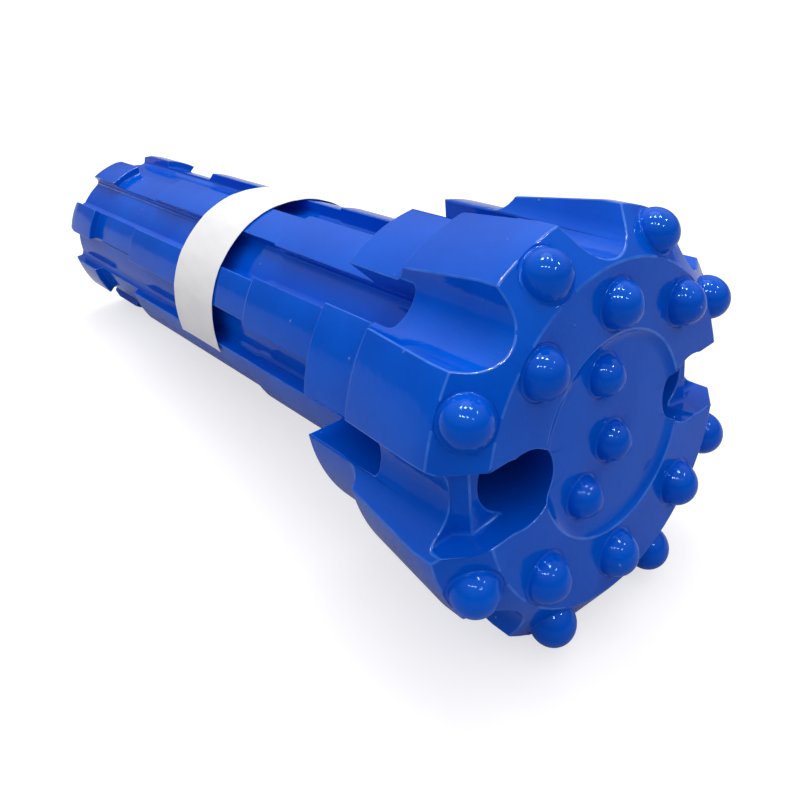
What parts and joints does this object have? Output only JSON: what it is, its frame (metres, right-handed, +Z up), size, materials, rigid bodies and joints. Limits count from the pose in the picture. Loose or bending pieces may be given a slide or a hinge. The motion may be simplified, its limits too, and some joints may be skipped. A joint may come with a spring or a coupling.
{
  "type": "button drill bit",
  "caption": "Button bit for a down-the-hole hammer: splined shank with air bore, collar and fluted head, dome buttons on a dished face and bevelled rim, flushing holes, paper label.",
  "frame": {"origin": "middle of the bottom of the bounding box, with the bit lying on its side on two wings of the head and two lugs at the tail", "axes": "+X from the shank towards the cutting head, +Y across, +Z up; the bit's own axis lies in the XZ plane and rises 4.27 degrees towards the head"},
  "size_m": [0.342, 0.126, 0.1262],
  "materials": {
    "blue_gloss_paint": "gloss",
    "white_paper": "matt"
  },
  "bodies": {
    "root": {"bit_body": "blue_gloss_paint", "gauge_button_1": "blue_gloss_paint", "gauge_button_2": "blue_gloss_paint", "gauge_button_3": "blue_gloss_paint", "gauge_button_4": "blue_gloss_paint", "gauge_button_5": "blue_gloss_paint", "gauge_button_6": "blue_gloss_paint", "gauge_button_7": "blue_gloss_paint", "gauge_button_8": "blue_gloss_paint", "face_button_1": "blue_gloss_paint", "face_button_2": "blue_gloss_paint", "face_button_3": "blue_gloss_paint", "face_button_4": "blue_gloss_paint", "face_button_5": "blue_gloss_paint", "face_button_6": "blue_gloss_paint", "centre_button_1": "blue_gloss_paint", "centre_button_2": "blue_gloss_paint", "centre_button_3": "blue_gloss_paint", "paper_label": "white_paper"}
  },
  "joints": []
}
